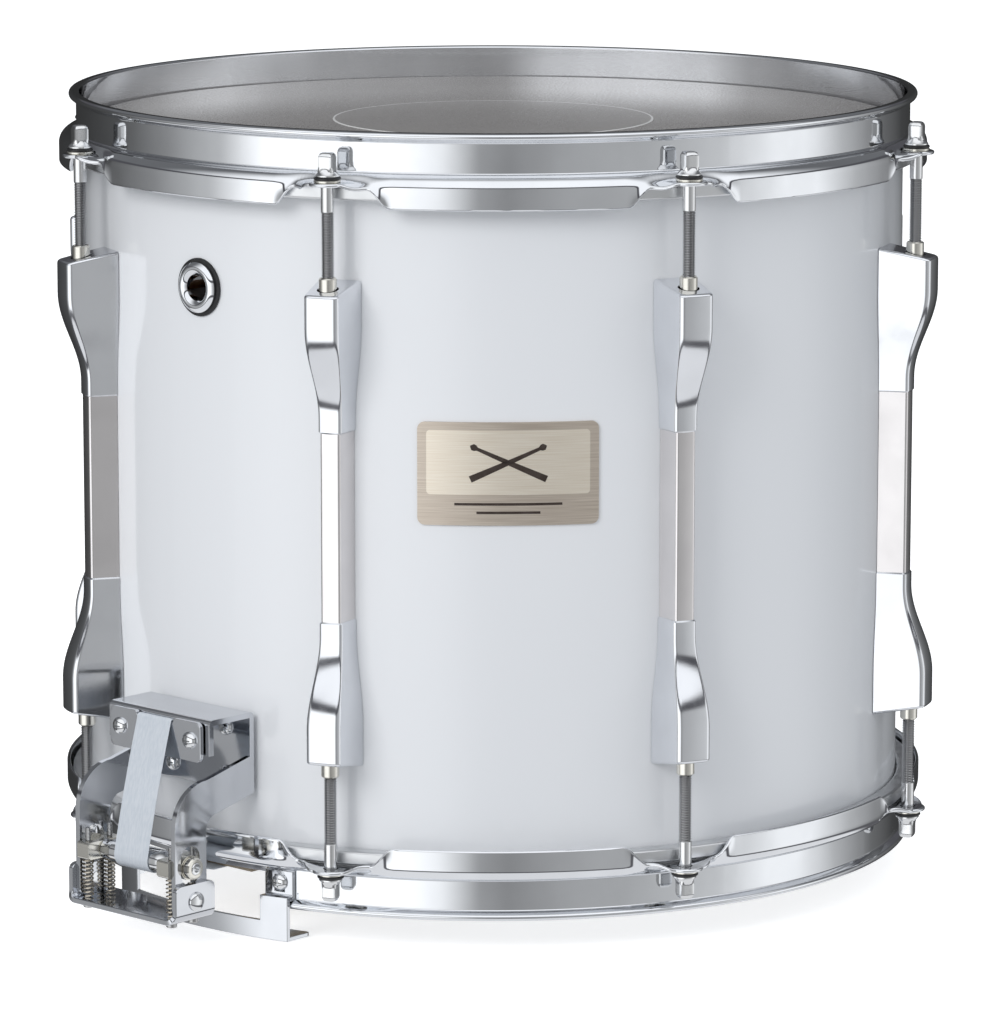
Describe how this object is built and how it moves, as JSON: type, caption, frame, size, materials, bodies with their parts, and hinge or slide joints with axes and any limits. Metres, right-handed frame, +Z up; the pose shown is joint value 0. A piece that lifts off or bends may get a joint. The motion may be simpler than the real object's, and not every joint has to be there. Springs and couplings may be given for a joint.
{
  "type": "marching snare drum",
  "caption": "Marching snare drum with a tall wrapped shell, tube lugs, flanged hoops, tension rods, snare rollers with straps and a lever throw-off.",
  "frame": {"origin": "on the drum's axis, in the plane of the snare guards' feet that it stands on", "axes": "+Z up along the drum's axis to the batter side; the badge faces -Y"},
  "size_m": [0.3764, 0.3764, 0.3395],
  "materials": {
    "shell_wrap": "gloss",
    "chrome": "polished",
    "hoop_chrome": "polished",
    "lug_chrome": "polished",
    "black_rubber": "matte",
    "badge_metal": "brushed",
    "head_film": "satin",
    "dot_film": "satin",
    "flesh_aluminium": "satin",
    "tube_satin": "brushed",
    "steel": "satin",
    "nickel": "satin",
    "black_nylon": "matte",
    "rod_chrome": "polished",
    "screw_chrome": "polished",
    "gut": "satin",
    "gut_plate": "satin",
    "spring_brass": "satin",
    "strap_plastic": "satin",
    "roller_chrome": "polished"
  },
  "bodies": {
    "drum": {"shell": "shell_wrap", "vent_grommet": "chrome", "vent_gasket": "black_rubber", "badge": "badge_metal", "top_hoop": "hoop_chrome", "bottom_hoop": "hoop_chrome", "batter_head": "head_film", "batter_flesh_hoop": "flesh_aluminium", "centre_dot": "dot_film", "snare_head": "head_film", "snare_flesh_hoop": "flesh_aluminium", "upper_lug_castings": "lug_chrome", "lower_lug_castings": "lug_chrome", "lug_tubes": "tube_satin", "lug_screws": "steel", "swivel_nuts": "nickel", "nickel_washers": "nickel", "black_washers": "black_nylon", "butt_snare_guard": "chrome", "throwoff_snare_guard": "chrome", "round_head_screws": "screw_chrome", "snare_strands": "gut", "snare_end_plates": "gut_plate", "u_frames": "chrome", "u_frame_rivets": "screw_chrome", "height_screws": "rod_chrome", "height_springs": "spring_brass", "butt_bracket": "chrome", "butt_clamp_plate": "chrome", "butt_strap": "strap_plastic", "throwoff_bracket": "chrome", "throwoff_strap": "strap_plastic", "throwoff_lever_pins": "screw_chrome"},
    "top_rod_1_body": {"top_rod_1": "rod_chrome"},
    "bottom_rod_1_body": {"bottom_rod_1": "rod_chrome"},
    "top_rod_2_body": {"top_rod_2": "rod_chrome"},
    "bottom_rod_2_body": {"bottom_rod_2": "rod_chrome"},
    "top_rod_3_body": {"top_rod_3": "rod_chrome"},
    "bottom_rod_3_body": {"bottom_rod_3": "rod_chrome"},
    "top_rod_4_body": {"top_rod_4": "rod_chrome"},
    "bottom_rod_4_body": {"bottom_rod_4": "rod_chrome"},
    "top_rod_5_body": {"top_rod_5": "rod_chrome"},
    "bottom_rod_5_body": {"bottom_rod_5": "rod_chrome"},
    "top_rod_6_body": {"top_rod_6": "rod_chrome"},
    "bottom_rod_6_body": {"bottom_rod_6": "rod_chrome"},
    "top_rod_7_body": {"top_rod_7": "rod_chrome"},
    "bottom_rod_7_body": {"bottom_rod_7": "rod_chrome"},
    "top_rod_8_body": {"top_rod_8": "rod_chrome"},
    "bottom_rod_8_body": {"bottom_rod_8": "rod_chrome"},
    "butt_roller_body": {"butt_roller": "roller_chrome", "butt_slide_blocks": "roller_chrome", "butt_axle_nuts": "roller_chrome"},
    "throwoff_roller_body": {"throwoff_roller": "roller_chrome", "throwoff_slide_blocks": "roller_chrome", "throwoff_axle_nuts": "roller_chrome"},
    "throwoff_lever_body": {"throwoff_lever": "chrome"},
    "throwoff_carriage_body": {"throwoff_carriage": "chrome", "throwoff_clamp_plate": "chrome", "throwoff_clamp_screws": "screw_chrome"}
  },
  "joints": [
    {"name": "top_rod_1_turn", "type": "hinge", "parent": "drum", "child": "top_rod_1_body", "pos_m": [0.17655, 0.07313, 0.29], "axis": [0, 0, 1], "continuous": true},
    {"name": "top_rod_2_turn", "type": "hinge", "parent": "drum", "child": "top_rod_2_body", "pos_m": [0.07313, 0.17655, 0.29], "axis": [0, 0, 1], "continuous": true},
    {"name": "top_rod_3_turn", "type": "hinge", "parent": "drum", "child": "top_rod_3_body", "pos_m": [-0.07313, 0.17655, 0.29], "axis": [0, 0, 1], "continuous": true},
    {"name": "top_rod_4_turn", "type": "hinge", "parent": "drum", "child": "top_rod_4_body", "pos_m": [-0.17655, 0.07313, 0.29], "axis": [0, 0, 1], "continuous": true},
    {"name": "top_rod_5_turn", "type": "hinge", "parent": "drum", "child": "top_rod_5_body", "pos_m": [-0.17655, -0.07313, 0.29], "axis": [0, 0, 1], "continuous": true},
    {"name": "top_rod_6_turn", "type": "hinge", "parent": "drum", "child": "top_rod_6_body", "pos_m": [-0.07313, -0.17655, 0.29], "axis": [0, 0, 1], "continuous": true},
    {"name": "top_rod_7_turn", "type": "hinge", "parent": "drum", "child": "top_rod_7_body", "pos_m": [0.07313, -0.17655, 0.29], "axis": [0, 0, 1], "continuous": true},
    {"name": "top_rod_8_turn", "type": "hinge", "parent": "drum", "child": "top_rod_8_body", "pos_m": [0.17655, -0.07313, 0.29], "axis": [0, 0, 1], "continuous": true},
    {"name": "bottom_rod_1_turn", "type": "hinge", "parent": "drum", "child": "bottom_rod_1_body", "pos_m": [0.17655, 0.07313, 0.0631], "axis": [0, 0, 1], "continuous": true},
    {"name": "bottom_rod_2_turn", "type": "hinge", "parent": "drum", "child": "bottom_rod_2_body", "pos_m": [0.07313, 0.17655, 0.0631], "axis": [0, 0, 1], "continuous": true},
    {"name": "bottom_rod_3_turn", "type": "hinge", "parent": "drum", "child": "bottom_rod_3_body", "pos_m": [-0.07313, 0.17655, 0.0631], "axis": [0, 0, 1], "continuous": true},
    {"name": "bottom_rod_4_turn", "type": "hinge", "parent": "drum", "child": "bottom_rod_4_body", "pos_m": [-0.17655, 0.07313, 0.0631], "axis": [0, 0, 1], "continuous": true},
    {"name": "bottom_rod_5_turn", "type": "hinge", "parent": "drum", "child": "bottom_rod_5_body", "pos_m": [-0.17655, -0.07313, 0.0631], "axis": [0, 0, 1], "continuous": true},
    {"name": "bottom_rod_6_turn", "type": "hinge", "parent": "drum", "child": "bottom_rod_6_body", "pos_m": [-0.07313, -0.17655, 0.0631], "axis": [0, 0, 1], "continuous": true},
    {"name": "bottom_rod_7_turn", "type": "hinge", "parent": "drum", "child": "bottom_rod_7_body", "pos_m": [0.07313, -0.17655, 0.0631], "axis": [0, 0, 1], "continuous": true},
    {"name": "bottom_rod_8_turn", "type": "hinge", "parent": "drum", "child": "bottom_rod_8_body", "pos_m": [0.17655, -0.07313, 0.0631], "axis": [0, 0, 1], "continuous": true},
    {"name": "butt_snare_height", "type": "slide", "parent": "drum", "child": "butt_roller_body", "axis": [0, 0, 1], "range_m": [-0.0015, 0.0035], "deforming": ["height_springs", "butt_strap"]},
    {"name": "throwoff_snare_height", "type": "slide", "parent": "drum", "child": "throwoff_roller_body", "axis": [0, 0, 1], "range_m": [-0.0015, 0.0035], "deforming": ["height_springs", "throwoff_strap"]},
    {"name": "throwoff_lever_turn", "type": "hinge", "parent": "drum", "child": "throwoff_lever_body", "pos_m": [0.1492, 0.1492, 0.104], "axis": [-0.7071, 0.7071, 0], "range_deg": [0, 95]},
    {"name": "throwoff_carriage_slide", "type": "slide", "parent": "drum", "child": "throwoff_carriage_body", "axis": [0, 0, -1], "range_m": [0, 0.005], "deforming": ["throwoff_strap"]}
  ],
  "couplings": [
    {"joint": "throwoff_carriage_slide", "follows": "throwoff_lever_turn", "m_per_rad": 0.003}
  ]
}
